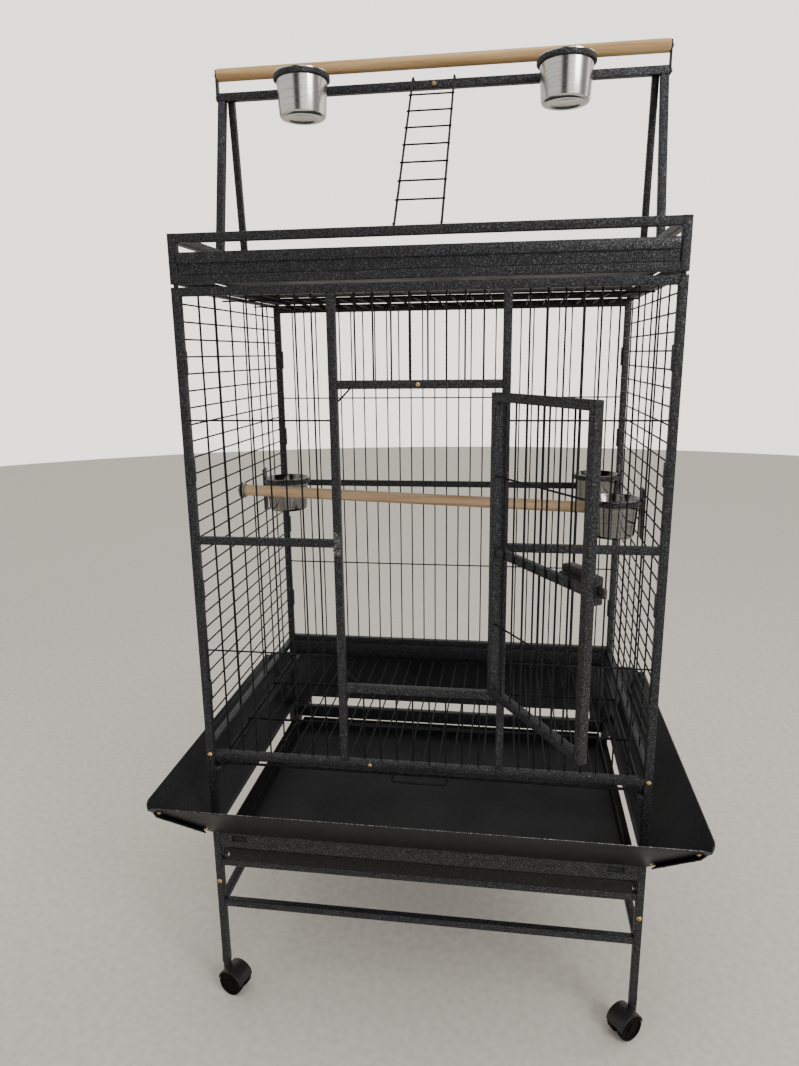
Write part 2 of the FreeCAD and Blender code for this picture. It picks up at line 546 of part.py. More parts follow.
def ring_holder(x, y, ring_top, *arms):
    low = f"{ring_top} - ring_height"
    ring = rod(x, y, low, "z", "ring_height", "ring_outer")
    return cut(fuse(ring, *arms), rod(x, y, f"{low} - ring_height", "z", "3 * ring_height",
                                      "ring_outer - ring_wall"))


node("top_cup_holders", *[
    ring_holder(f"{side} * top_cup_x", "top_ring_y", "crossbar_top",
                box(f"{side} * top_cup_x - holder_width / 2", "top_ring_y + ring_outer - ring_wall",
                    "crossbar_top - ring_height", "holder_width", "ring_wall + top_cup_reach",
                    "ring_height"))
    for side in (-1, 1)])
cup("cup_top_left", "-top_cup_x", "top_ring_y", "crossbar_top")
cup("cup_top_right", "top_cup_x", "top_ring_y", "crossbar_top")
INNER_CUPS = {"inner_left": (-1, "left_cup_y"), "inner_near": (1, "near_cup_y"),
              "inner_far": (1, "far_cup_y")}
inner_holders = []
for label, (side, y) in INNER_CUPS.items():
    plate_x = "-inner_x" if side < 0 else "inner_x - holder_sheet"
    arm_x = "-inner_x + holder_sheet" if side < 0 else "inner_ring_x + ring_outer - ring_wall"
    arm = box(arm_x, f"{y} - holder_width / 2", "inner_cup_z - ring_height",
              "inner_x - holder_sheet - inner_ring_x - ring_outer + ring_wall", "holder_width",
              "ring_height")
    plate = box(plate_x, f"{y} - holder_width / 2", "inner_cup_z - holder_drop", "holder_sheet",
                "holder_width",
                "holder_drop + holder_hook")
    inner_holders.append(ring_holder(f"{side} * inner_ring_x", y, "inner_cup_z", arm, plate))
    cup("cup_" + label, f"{side} * inner_ring_x", y, "inner_cup_z")
node("inner_cup_holders", *inner_holders)

# Inner perch: clamped between two side wires by a washer each side, a stud and a nut. Its right
# end sits one gap lower than its left.
SIDE_SPAN = "side_wire_top - side_bar_z - tube"
side_gaps = round(size(SIDE_SPAN) / size("wire_pitch"))
gap_index = round(size("bar_perch_level - side_bar_z - tube") / size(SIDE_SPAN) * side_gaps - 0.5)
PERCH_LEFT, PERCH_RIGHT = [f"side_bar_z + tube + {index} * ({SIDE_SPAN}) / {side_gaps}"
                           for index in (gap_index + 0.5, gap_index - 0.5)]
perch_x = size("inner_x - washer_sheet")
perch_end = Part.makeCircle(size("bar_perch_radius"), Vector(-perch_x, size("bar_perch_y"),
                                                             size(PERCH_LEFT)),
                            Vector(1, 0, 0))
node("bar_perch", solid(Part.Face(Part.Wire(perch_end)).extrude(
    Vector(2 * perch_x, 0, size(PERCH_RIGHT) - size(PERCH_LEFT))), "dowel"))
STACK = [("-washer_sheet", "washer_sheet", "washer_radius"), ("0", "2 * wire", "stud_radius"),
         ("2 * wire", "washer_sheet", "washer_radius"),
         ("2 * wire + washer_sheet", "nut_height", "nut_radius")]
node("bar_perch_fasteners",
     *[rod(f"inner_x + {start}", "bar_perch_y", PERCH_RIGHT, "x", length, radius)
       for start, length, radius in STACK],
     *[rod(f"-inner_x - ({start}) - ({length})", "bar_perch_y", PERCH_LEFT, "x", length, radius)
       for start, length, radius in STACK])

# Ladder: two rails hooked over the crossbar, their feet on the front guard rail, with round rungs.
rail_half = size("ladder_rail / 2 + slide_gap")
hook_top, hook_back = size("crossbar_top") + rail_half, apex + size("tube / 2 + hook_slack") + rail_half
hook_front, foot_level = apex - size("tube / 2") - rail_half - size("ladder_bend"), rail_top + rail_half
foot_turn, foot_tip = -size("inner_y") - size("ladder_rail"), -size("half_depth") + size("ladder_rail / 2")
path = [(foot_tip, foot_level), (foot_turn, foot_level), (hook_front, hook_top), (hook_back, hook_top),
        (hook_back, hook_top - size("tube"))]
rails = [bent([Vector(side * size("ladder_width / 2"), y, z) for y, z in path], size("ladder_bend"),
              size("ladder_rail"))
         for side in (-1, 1)]
slope = Vector(0, foot_turn - hook_front, foot_level - hook_top)
front = Vector(0, slope.z, -slope.y).normalize()
reach = size("ladder_width / 2 + rung_overhang")
rungs = []
for step in range(7):
    spot = (Vector(0, hook_front, hook_top) + slope * size(f"rung_first + {step} * rung_step")
            + front * size("ladder_rail / 2 + rung / 2"))
    rungs.append(solid(Part.makeCylinder(size("rung / 2"), 2 * reach, spot - Vector(reach, 0, 0),
                                         Vector(1, 0, 0)), "rung"))
node("ladder", *rails, *rungs)

# Door: built closed in the doorway, then swung open about its hinge pins.
SWING = FreeCAD.Placement(Vector(), FreeCAD.Rotation(Vector(0, 0, 1), size("door_angle")),
                          Vector(size("hinge_x"), size("hinge_y"), 0))
DOOR_IN = "2 * (door_half - tube)"
DOOR_RISE = "door_high - door_low - 2 * tube"
moved(SWING, "door_frame",
      *[box(x, "-half_depth", "door_low", "tube", "tube", "door_high - door_low")
        for x in ("-door_half", "door_half - tube")],
      *[box("-door_half + tube", "-half_depth", z, DOOR_IN, depth, "tube")
        for z, depth in (("door_low", "tube"), ("door_high - tube", "tube"), ("mid_bar_z", "rail_depth"))])
moved(SWING, "door_wires",
      *[rod(x, FRONT_WIRE_Y, "door_low + tube", "z", DOOR_RISE, "wire / 2")
        for x in spaced("-door_half + tube", DOOR_IN, "wire_pitch")],
      *[rod("-door_half + tube", LEVEL_WIRE_Y, z, "x", DOOR_IN, "wire / 2")
        for z in ("(door_low + tube + mid_bar_z) / 2", "(mid_bar_z + door_high) / 2")])
HINGES = ("door_low + hinge_inset", "door_high - hinge_inset")


def knuckle(z, length, *leaves):
    barrel = rod("hinge_x", "hinge_y", z, "z", length, "knuckle_radius")
    return fuse(barrel, *leaves)


def bored(piece, z, length):
    return cut(piece, rod("hinge_x", "hinge_y", f"{z} - tube", "z", f"{length} + 2 * tube",
                          "pin_radius + run_gap"))


PLATE_Y = "-half_depth - leaf_sheet"
END = "knuckle_length / 2"
door_leaves, fixed_leaves, pins = [], [], []
for level in HINGES:
    low = f"{level} - knuckle_length / 2"
    leaf = box("hinge_x - leaf_width", PLATE_Y, low, "leaf_width", "leaf_sheet", "knuckle_length")
    door_leaves.append(bored(knuckle(low, "knuckle_length", leaf), low, "knuckle_length"))
    bottom = f"{low} - knuckle_gap - {END}"
    upper = f"{low} + knuckle_length + knuckle_gap"
    whole = "2 * (knuckle_length + knuckle_gap)"
    plate = box("hinge_x + knuckle_radius + slide_gap", PLATE_Y, bottom,
                "leaf_width - knuckle_radius", "leaf_sheet", whole)
    tabs = [knuckle(z, END, box("hinge_x", PLATE_Y, z, "leaf_width", "leaf_sheet", END))
            for z in (bottom, upper)]
    fixed_leaves.append(bored(fuse(plate, *tabs), bottom, whole))
    pins.append(rod("hinge_x", "hinge_y", bottom, "z", whole, "pin_radius"))
    pins.append(rod("hinge_x", "hinge_y", f"{bottom} + {whole}", "z", "pin_head_height", "pin_head"))
moved(SWING, "hinge_door_leaves", *door_leaves)
node("hinge_fixed_leaves", *fixed_leaves)
node("hinge_pins", *pins)

# Latch: a guide box on the door's free stile, a flat bolt through it and a finger lever on its tail.
BOX_LOW = "latch_z - latch_height / 2"
moved(SWING, "latch_body", cut(
    box("-door_half", "-half_depth - latch_depth", BOX_LOW, "latch_length", "latch_depth", "latch_height"),
    box("-door_half - tube", "bolt_front - slide_gap", "latch_z - latch_bolt_height / 2 - slide_gap",
        "latch_length + 2 * tube", "bolt_depth + 2 * slide_gap", "latch_bolt_height + 2 * slide_gap")))
moved(SWING, "latch_bolt", box("-door_half - bolt_reach", "bolt_front", "latch_z - latch_bolt_height / 2",
                               "bolt_reach + latch_length + bolt_tail", "bolt_depth", "latch_bolt_height"))
moved(SWING, "latch_lever", box("-door_half + latch_length + bolt_tail - lever_length",
                                "bolt_front - lever_depth",
                                "latch_z - lever_height / 2", "lever_length", "lever_depth", "lever_height"))

# Strike on the doorway's other upright: a plate whose two ears take the bolt between them.
STRIKE_X = "-jamb_x - tube / 2 - strike_width / 2"
EAR_LOW = "-half_depth - strike_sheet - strike_ear"
node("strike",
     box(STRIKE_X, "-half_depth - strike_sheet", "latch_z - strike_height / 2", "strike_width",
         "strike_sheet",
         "strike_height"),
     *[box(STRIKE_X, EAR_LOW, z, "strike_width", "strike_ear", "ear_sheet")
       for z in ("latch_z + latch_bolt_height / 2 + ear_gap",
                 "latch_z - latch_bolt_height / 2 - ear_gap - ear_sheet")])

# Door stops: short wires across the doorway's latch-side corners, behind the door.
stop_x, stop_y = size("-jamb_x - tube / 2"), size("-inner_y + wire / 2")
reach = size("corner_brace + tube / 2")
stops = []
for corner_z, turn in ((size("head_z + tube / 2"), -1), (size("sill_z + tube / 2"), 1)):
    stops.append(bent([Vector(stop_x, stop_y, corner_z + turn * reach),
                       Vector(stop_x + reach, stop_y, corner_z)],
                      0, size("wire")))
node("door_stops", *stops)

# Recompute, check every piece and write one file each.
doc.recompute()
os.makedirs("parts", exist_ok=True)
for obj in NODES:
    if {"Invalid", "Error"} & set(obj.State) or obj.Shape.isNull() or not obj.Shape.isValid():
        raise RuntimeError(f"{obj.Label} did not build: {obj.State}")
    obj.Shape.exportStep(f"parts/{obj.Label}.step")
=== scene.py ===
import json
import math

import bmesh
import bpy
from mathutils import Matrix, Vector


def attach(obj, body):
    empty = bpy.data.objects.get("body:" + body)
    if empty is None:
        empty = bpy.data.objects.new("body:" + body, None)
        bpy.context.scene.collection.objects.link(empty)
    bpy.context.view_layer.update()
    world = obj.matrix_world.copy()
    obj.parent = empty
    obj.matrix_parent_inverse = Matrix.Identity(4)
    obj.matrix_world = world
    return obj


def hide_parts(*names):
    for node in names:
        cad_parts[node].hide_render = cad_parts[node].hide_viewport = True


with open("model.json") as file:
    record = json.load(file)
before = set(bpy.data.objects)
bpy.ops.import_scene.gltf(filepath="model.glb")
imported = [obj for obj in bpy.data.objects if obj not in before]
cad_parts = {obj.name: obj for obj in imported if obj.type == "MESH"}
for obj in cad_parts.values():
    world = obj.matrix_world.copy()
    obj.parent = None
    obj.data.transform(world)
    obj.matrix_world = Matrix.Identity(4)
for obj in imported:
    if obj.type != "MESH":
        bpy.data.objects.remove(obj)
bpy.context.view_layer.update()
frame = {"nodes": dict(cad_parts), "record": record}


# Side panels: square steel tube, welded. The two posts of each run down as legs, with rails
# and a flat top strip between them, all powder coated black with silver flecks.
def finish(name, color, roughness, metallic=0.0, gleam=0.5):
    """A new material with plain values on its shader's own sockets."""
    material = bpy.data.materials.new(name)
    material.use_nodes = True
    shader = material.node_tree.nodes["Principled BSDF"]
    shader.inputs["Base Color"].default_value = (*color, 1)
    shader.inputs["Roughness"].default_value = roughness
    shader.inputs["Metallic"].default_value = metallic
    shader.inputs["Specular IOR Level"].default_value = gleam
    return material


def pattern(material, kind, scale, stretch=None, **settings):
    """A texture node on the piece's own coordinates, in turns per metre."""
    tree = material.node_tree
    place = tree.nodes.new("ShaderNodeTexCoord").outputs["Object"]
    if stretch:
        mapping = tree.nodes.new("ShaderNodeMapping")
        mapping.inputs["Scale"].default_value = stretch
        tree.links.new(place, mapping.inputs["Vector"])
        place = mapping.outputs["Vector"]
    node = tree.nodes.new(kind)
    tree.links.new(place, node.inputs["Vector"])
    for socket, value in dict(settings, Scale=scale).items():
        node.inputs[socket].default_value = value
    return node


def ramp(material, source, *stops):
    """A pattern's values turned into greys or colours, stop by stop."""
    node = material.node_tree.nodes.new("ShaderNodeValToRGB")
    elements = node.color_ramp.elements
    for extra in stops[2:]:
        elements.new(extra[0])
    for element, (position, value) in zip(elements, stops):
        element.position = position
        element.color = (*value, 1) if isinstance(value, tuple) else (value, value, value, 1)
    material.node_tree.links.new(source, node.inputs["Fac"])
    return node.outputs["Color"]


def drive(material, output, socket):
    """A node's output wired to a socket of the material's shader."""
    material.node_tree.links.new(output, material.node_tree.nodes["Principled BSDF"].inputs[socket])


def bumps(material, height, strength, depth):
    """Fine relief in the finish, its depth in metres."""
    node = material.node_tree.nodes.new("ShaderNodeBump")
    node.inputs["Strength"].default_value = strength
    node.inputs["Distance"].default_value = depth
    material.node_tree.links.new(height, node.inputs["Height"])
    drive(material, node.outputs["Normal"], "Normal")


hammered = finish("hammered_black", (0.02, 0.02, 0.021), 0.42, 0.4, 0.2)
veins = pattern(hammered, "ShaderNodeTexNoise", 520, Detail=3.0, Roughness=0.6, Distortion=1.1)
veins = veins.outputs["Fac"]
drive(hammered, ramp(hammered, veins, (0.46, (0.008, 0.008, 0.01)), (0.56, (0.034, 0.035, 0.04)),
                     (0.68, (0.18, 0.186, 0.202))), "Base Color")
drive(hammered, ramp(hammered, veins, (0.53, 0.0), (0.66, 0.95)), "Metallic")
drive(hammered, ramp(hammered, veins, (0.42, 0.48), (0.66, 0.3)), "Roughness")
bumps(hammered, veins, 0.5, 0.0009)

MM = 0.001
BODY = {node: body for body, nodes in frame["record"]["behaviour"]["bodies"].items() for node in nodes}
SLOT = {sub["node"]: sub["material_slot"] for sub in frame["record"]["subparts"]}


def piece(name, bm, material, *nodes, smooth=35, body=None, slot=None):
    """A mesh made in millimetres becomes a piece that stands for its CAD nodes and rides their body."""
    bmesh.ops.scale(bm, vec=(MM, MM, MM), verts=bm.verts)
    mesh = bpy.data.meshes.new(name)
    bm.to_mesh(mesh)
    bm.free()
    mesh.shade_smooth()
    mesh.set_sharp_from_angle(angle=math.radians(smooth))
    mesh.materials.append(material)
    obj = bpy.data.objects.new(name, mesh)
    bpy.context.collection.objects.link(obj)
    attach(obj, body or BODY[nodes[0]])
    if nodes:
        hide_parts(*nodes)
    return obj


def bar(bm, low, high, ease=1.3, ends=False):
    """A square tube between two corners, its long edges rounded."""
    size = Vector(high) - Vector(low)
    middle = (Vector(low) + Vector(high)) / 2
    made = bmesh.ops.create_cube(bm, size=1, matrix=Matrix.Translation(middle) @ Matrix.Diagonal((*size, 1)))
    edges = {edge for vert in made["verts"] for edge in vert.link_edges}
    if not ends:
        way = max(range(3), key=lambda axis: size[axis])
        edges = {edge for edge in edges
                 if abs(edge.verts[0].co[way] - edge.verts[1].co[way]) > size[way] / 2}
    bmesh.ops.bevel(bm, geom=list(edges), offset=ease, affect="EDGES", segments=3, profile=0.5, material=-1)


TUBE, THIN_BAR = 14.0, 11
HALF_X, HALF_Y = 406.5, 283.0
IN_X, IN_Y = HALF_X - TUBE, HALF_Y - TUBE
LEG_FOOT, BODY_TOP = 81, 1368.0
LOWER_RAIL, TRAY_BAR, SIDE_FLOOR = 194, 287, 535
STRIP, STRIP_EASE = 3, 0.6
BRACKET, BRACKET_LOW, BRACKET_HIGH = 25, 329, 360
for side, x in (("left", -HALF_X), ("right", IN_X)):
    panel = bmesh.new()
    for y in (-HALF_Y, IN_Y):
        bar(panel, (x, y, LEG_FOOT), (x + TUBE, y + TUBE, BODY_TOP))
    for z in (SIDE_FLOOR, TRAY_BAR, LOWER_RAIL):
        bar(panel, (x, -IN_Y, z), (x + TUBE, IN_Y, z + TUBE))
    bar(panel, (x, -IN_Y, BODY_TOP - STRIP), (x + TUBE, IN_Y, BODY_TOP), STRIP_EASE)
    for y in (-IN_Y, IN_Y - BRACKET):
        bar(panel, (x, y, BRACKET_LOW), (x + TUBE, y + BRACKET, BRACKET_HIGH))
    piece("side_panel_" + side, panel, hammered, "side_frame_" + side)

# Front and back panels: bars of the same tube between the posts, and on the front two uprights
# that make the doorway, with a sill and a head. The thinner middle bars leave room for wires.
TOP_BAR = BODY_TOP - TUBE
FRONT_FLOOR, FRONT_MIDDLE, SILL, HEAD = 518, 935, 667, 1203
DOORWAY, UPRIGHT = 134, 148
front = bmesh.new()
for z in (TOP_BAR, FRONT_FLOOR):
    bar(front, (-IN_X, -HALF_Y, z), (IN_X, -IN_Y, z + TUBE))
for x in (-UPRIGHT, DOORWAY):
    bar(front, (x, -HALF_Y, FRONT_FLOOR + TUBE), (x + TUBE, -IN_Y, TOP_BAR))
for z in (HEAD, SILL):
    bar(front, (-DOORWAY, -HALF_Y, z), (DOORWAY, -IN_Y, z + TUBE))
for x in (-IN_X, UPRIGHT):
    bar(front, (x, -HALF_Y, FRONT_MIDDLE), (x + IN_X - UPRIGHT, -HALF_Y + THIN_BAR, FRONT_MIDDLE + TUBE))
piece("front_panel", front, hammered, "front_frame")
BACK_FLOOR, BACK_MIDDLE, BACK_SKIRT, SKIRT_TOP = 542, 947, 506, 540
back = bmesh.new()
for z in (TOP_BAR, BACK_FLOOR):
    bar(back, (-IN_X, IN_Y, z), (IN_X, HALF_Y, z + TUBE))
bar(back, (-IN_X, IN_Y, BACK_SKIRT), (IN_X, HALF_Y, SKIRT_TOP))
bar(back, (-IN_X, IN_Y, BACK_MIDDLE), (IN_X, IN_Y + THIN_BAR, BACK_MIDDLE + TUBE))
piece("back_panel", back, hammered, "back_frame")

# Wire grilles: drawn steel wire, spot welded and coated in the same black, which lies smoother
# on the round wire and wears to a faint shine on its crown.
wire = finish("wire_black", (0.01, 0.01, 0.011), 0.45, 0.0, 0.1)
skin = pattern(wire, "ShaderNodeTexNoise", 260, Detail=2.0).outputs["Fac"]
drive(wire, ramp(wire, skin, (0.4, (0.006, 0.006, 0.008)), (0.7, (0.017, 0.017, 0.02))), "Base Color")
drive(wire, ramp(wire, skin, (0.35, 0.52), (0.7, 0.36)), "Roughness")
bumps(wire, skin, 0.25, 0.0003)


def coat(material, *nodes):
    """The CAD's own mesh keeps its shape and takes a finish."""
    for node in nodes:
        slots = frame["nodes"][node].data.materials
        slots.clear()
        slots.append(material)


coat(wire, "side_wires_left", "side_wires_right", "front_wires", "back_wires", "ceiling_wires", "door_stops")

# Stand: a slotted front apron, a plain back one, tray bars and lower rails welded between the
# legs. The hook plates that the panels hang by are short pressed strips on the posts.
WELD, FLAT = 0.002, math.radians(0.5)


def eased(name, material, node, ease, steps=2, angle=40):
    """A CAD solid with its sharp edges rounded as paint and pressing leave them."""
    bm = bmesh.new()
    bm.from_mesh(frame["nodes"][node].data)
    bmesh.ops.scale(bm, vec=(1 / MM, 1 / MM, 1 / MM), verts=bm.verts)
    bmesh.ops.remove_doubles(bm, verts=bm.verts, dist=WELD)
    bmesh.ops.dissolve_limit(bm, angle_limit=FLAT, verts=bm.verts, edges=bm.edges)
    sharp = [edge for edge in bm.edges
             if len(edge.link_faces) == 2 and edge.calc_face_angle() > math.radians(angle)]
    bmesh.ops.bevel(bm, geom=sharp, offset=ease, affect="EDGES", segments=steps, profile=0.5, material=-1)
    return piece(name, bm, material, node)


eased("slotted_apron", hammered, "stand_front", 1.3, 3)
eased("rear_apron", hammered, "stand_back", 1.3, 3)
eased("hook_plates", hammered, "panel_hooks", 0.9)
eased("grate_ledge_bars", hammered, "grate_ledges", 1.0)


# Panel bolts: brass-plated button heads with a socket in the crown, one at each panel joint on the
# front and back of the posts, and two smaller screws in the front panel's bars.
def turn(bm, profile, place=Matrix(), steps=40):
    """A (radius, height) outline spun about Z, then set in its place."""
    part = bmesh.new()
    points = [part.verts.new((radius, 0, height)) for radius, height in profile]
    edges = [part.edges.new(pair) for pair in zip(points, points[1:])]
    bmesh.ops.spin(part, geom=points + edges, cent=(0, 0, 0), axis=(0, 0, 1), angle=2 * math.pi,
                   steps=steps, use_merge=True)
    bmesh.ops.remove_doubles(part, verts=part.verts, dist=0.001)
    bmesh.ops.recalc_face_normals(part, faces=part.faces)
    bmesh.ops.transform(part, matrix=place, verts=part.verts)
    mesh = bpy.data.meshes.new("turned")
    part.to_mesh(mesh)
    part.free()
    bm.from_mesh(mesh)
    bpy.data.meshes.remove(mesh)


def facing(spot, way):
    """A place whose Z axis points the given way."""
    return Matrix.Translation(spot) @ Vector(way).to_track_quat("Z", "X").to_matrix().to_4x4()


brass = finish("brass_plate", (0.62, 0.45, 0.19), 0.3, 1.0)
tarnish = pattern(brass, "ShaderNodeTexNoise", 190, Detail=4.0).outputs["Fac"]
drive(brass, ramp(brass, tarnish, (0.35, (0.36, 0.25, 0.1)), (0.65, (0.74, 0.56, 0.27))), "Base Color")
drive(brass, ramp(brass, tarnish, (0.3, 0.46), (0.7, 0.22)), "Roughness")
BUTTON = [(0, 1.1), (1.7, 1.1), (1.9, 2.8), (3.2, 2.4), (4.4, 1.5), (5, 0.4), (5, 0), (0, 0)]
SMALL = Matrix.Scale(0.8, 4)
POST_X, POST_Y = HALF_X - TUBE / 2, HALF_Y - TUBE / 2
bolts = bmesh.new()
for x in (-POST_X, POST_X):
    for z in (526, 251):
        turn(bolts, BUTTON, facing((x, -HALF_Y, z), (0, -1, 0)), 24)
        turn(bolts, BUTTON, facing((x, HALF_Y, z), (0, 1, 0)), 24)
for x, z in ((0, HEAD + TUBE / 2), (-93, FRONT_FLOOR + TUBE / 2)):
    turn(bolts, BUTTON, facing((x, -HALF_Y, z), (0, -1, 0)) @ SMALL, 24)
piece("panel_bolts", bolts, brass, "frame_bolts", smooth=50)

# Casters: black moulded nylon. A socket plugs each leg, a rounded hood swivels in it on a stem,
# and two rubber wheels with crowned treads and dished faces turn on one axle.
nylon = finish("black_nylon", (0.008, 0.008, 0.009), 0.38, 0.0, 0.4)
mould = pattern(nylon, "ShaderNodeTexNoise", 700, Detail=2.0).outputs["Fac"]
drive(nylon, ramp(nylon, mould, (0.35, (0.008, 0.008, 0.009)), (0.7, (0.02, 0.02, 0.022))), "Base Color")
drive(nylon, ramp(nylon, mould, (0.3, 0.48), (0.7, 0.34)), "Roughness")
bumps(nylon, mould, 0.15, 0.0004)
tread = finish("wheel_rubber", (0.004, 0.004, 0.004), 0.7, 0.0, 0.08)
grime = pattern(tread, "ShaderNodeTexNoise", 300, Detail=3.0).outputs["Fac"]
drive(tread, ramp(tread, grime, (0.4, (0.003, 0.003, 0.003)), (0.75, (0.009, 0.009, 0.009))), "Base Color")
drive(tread, ramp(tread, grime, (0.35, 0.78), (0.7, 0.6)), "Roughness")
coat(nylon, "caster_sockets")
CASTERS = {"front_left": (-POST_X, -POST_Y, -18), "front_right": (POST_X, -POST_Y, -143),
           "back_left": (-POST_X, POST_Y, -52), "back_right": (POST_X, POST_Y, -128)}
TRAIL, AXLE_Z, WEB = 18, 25, 5.5
WHEEL = [(0, 0), (9, 0), (24, 0), (25, 1.4), (25, 12), (24, 14.2), (22.2, 15), (21, 14.6), (20, 12.4),
         (9.5, 11.6), (8.6, 12), (8.2, 14), (6.8, 15), (0, 15)]
AXLE = [(0, -WEB), (3, -WEB), (3, WEB), (0, WEB)]
HOOD_IN, HOOD_OUT = 26.2, 29
TIP, TUCK, TIP_WALL = 4, 16, 0.35
for corner, (x, y, heading) in CASTERS.items():
    swivel = Matrix.Translation((x, y, 0)) @ Matrix.Rotation(math.radians(heading), 4, "Z")
    wheels = bmesh.new()
    for side in (-1, 1):
        turn(wheels, WHEEL, swivel @ facing((TRAIL, WEB * side, AXLE_Z), (0, side, 0)), 48)
    turn(wheels, AXLE, swivel @ facing((TRAIL, 0, AXLE_Z), (0, 1, 0)), 16)
    piece("twin_wheels_" + corner, wheels, tread, "caster_wheels_" + corner)
    hood = eased("caster_hood_" + corner, nylon, "caster_fork_" + corner, 1.1, 3, 50).data
    # The shell thins towards its tips, so that they hug the wheels.
    for vertex in hood.vertices:
        spot = swivel.inverted() @ (vertex.co / MM)
        along, rise = spot.x - TRAIL, spot.z - AXLE_Z
        radius = math.hypot(along, rise)
        if HOOD_IN < radius < HOOD_OUT and rise < TUCK:
            wall = TIP_WALL + (1 - TIP_WALL) * (rise - TIP) / (TUCK - TIP)
            inward = (HOOD_IN + wall * (radius - HOOD_IN)) / radius
            vertex.co = MM * (swivel @ Vector((TRAIL + inward * along, spot.y, AXLE_Z + inward * rise)))

# Seed guard: four folded sheets, mitred, that flare up and out round the cage. Each free edge is
# folded over into a flat hem with its edge faces painted pale grey as a highlight along the rim, and strips
# screwed under the mitres hold the corners.
sheet = finish("sheet_black", (0.012, 0.012, 0.013), 0.4, 0.1, 0.22)
peel = pattern(sheet, "ShaderNodeTexNoise", 380, Detail=3.0, Distortion=0.8).outputs["Fac"]
dust = pattern(sheet, "ShaderNodeTexNoise", 9, Detail=4.0).outputs["Fac"]
drive(sheet, ramp(sheet, peel, (0.5, (0.006, 0.006, 0.008)), (0.75, (0.028, 0.029, 0.033))), "Base Color")
drive(sheet, ramp(sheet, dust, (0.35, 0.34), (0.65, 0.5)), "Roughness")
bumps(sheet, peel, 0.25, 0.0005)
coat(sheet, "seed_guard_front", "seed_guard_back", "seed_guard_left", "seed_guard_right")
coat(hammered, "guard_braces")
eased("guard_screw_heads", brass, "guard_screws", 0.9, 3)
# A pale, speckled grey metal. On the hem's edge faces it is a painted highlight, the lit top of the fold; on
# the strike plate it is the plate's own metal.
rim_highlight_and_strike = finish("rim_highlight_and_strike_metal", (0.1, 0.1, 0.1), 0.4, 0.7)
rim_highlight_and_metal_speckle = pattern(rim_highlight_and_strike, "ShaderNodeTexNoise", 430, Detail=3.0, Roughness=0.6, Distortion=1.0).outputs["Fac"]
drive(rim_highlight_and_strike, ramp(rim_highlight_and_strike, rim_highlight_and_metal_speckle, (0.4, (0.014, 0.014, 0.015)), (0.52, (0.12, 0.12, 0.118)),
                   (0.66, (0.55, 0.55, 0.54))), "Base Color")
drive(rim_highlight_and_strike, ramp(rim_highlight_and_strike, rim_highlight_and_metal_speckle, (0.4, 0.5), (0.66, 0.3)), "Roughness")
bumps(rim_highlight_and_strike, rim_highlight_and_metal_speckle, 0.4, 0.0006)
GUARD_FOOT, RUN, RISE, CORNER = 361.2, 92.0, 103.0, 30.0
SCREW_INSET, SCREW_LIFT = 13, 1.2
tips = bmesh.new()
for y_way in (-1, 1):
    out_face = Vector((0, y_way * RISE, -RUN)).normalized()
    for x_way in (-1, 1):
        for reach in (17, 78):
            spot = Vector((x_way * (HALF_X + reach - SCREW_INSET), y_way * (HALF_Y + reach),
                           GUARD_FOOT + RISE * reach / RUN))
            turn(tips, BUTTON, facing(spot + SCREW_LIFT * out_face, out_face) @ SMALL, 20)
piece("guard_edge_screws", tips, brass, body="cage", slot=SLOT["guard_screws"], smooth=50)
HEM_OUT, HEM_IN, HEM_THICK = 0.6, 9, 1.1
BEND = 6
for side, half, out, quarter in (("front", HALF_X, HALF_Y, 0), ("right", HALF_Y, HALF_X, 1),
                                 ("back", HALF_X, HALF_Y, 2), ("left", HALF_Y, HALF_X, 3)):
    hem = bmesh.new()
    loops = []
    for radius in (CORNER - HEM_OUT, CORNER - HEM_IN):
        points = []
        for way, turns in ((-1, range(BEND, -1, -1)), (1, range(BEND + 1))):
            for step in turns:
                angle = math.radians(45 / BEND * step)
                reach = RUN - CORNER + radius * math.cos(angle)
                along = half + RUN - CORNER + radius * math.sin(angle)
                points.append(hem.verts.new((way * along, -out - reach, GUARD_FOOT + RISE * reach / RUN)))
        loops += [hem.edges.new(pair) for pair in zip(points, points[1:])]
    bmesh.ops.bridge_loops(hem, edges=loops)
    above = Vector((0, RISE, RUN)).normalized()
    bmesh.ops.recalc_face_normals(hem, faces=hem.faces)
    if sum(face.normal.dot(above) for face in hem.faces) < 0:
        bmesh.ops.reverse_faces(hem, faces=hem.faces)
    bmesh.ops.solidify(hem, geom=list(hem.faces), thickness=-HEM_THICK)
    round_cage = Matrix.Rotation(math.radians(90 * quarter), 3, "Z")
    bmesh.ops.rotate(hem, cent=(0, 0, 0), matrix=round_cage, verts=hem.verts)
    fold = piece("guard_hem_" + side, hem, sheet, body="cage", slot="frame_black").data
    # The hem's edge faces take the pale grey as a painted highlight line along the rim; its flat faces stay
    # black.
    fold.materials.append(rim_highlight_and_strike)
    above.rotate(round_cage)
    for face in fold.polygons:
        face.material_index = int(abs(face.normal.dot(above)) < 0.5)

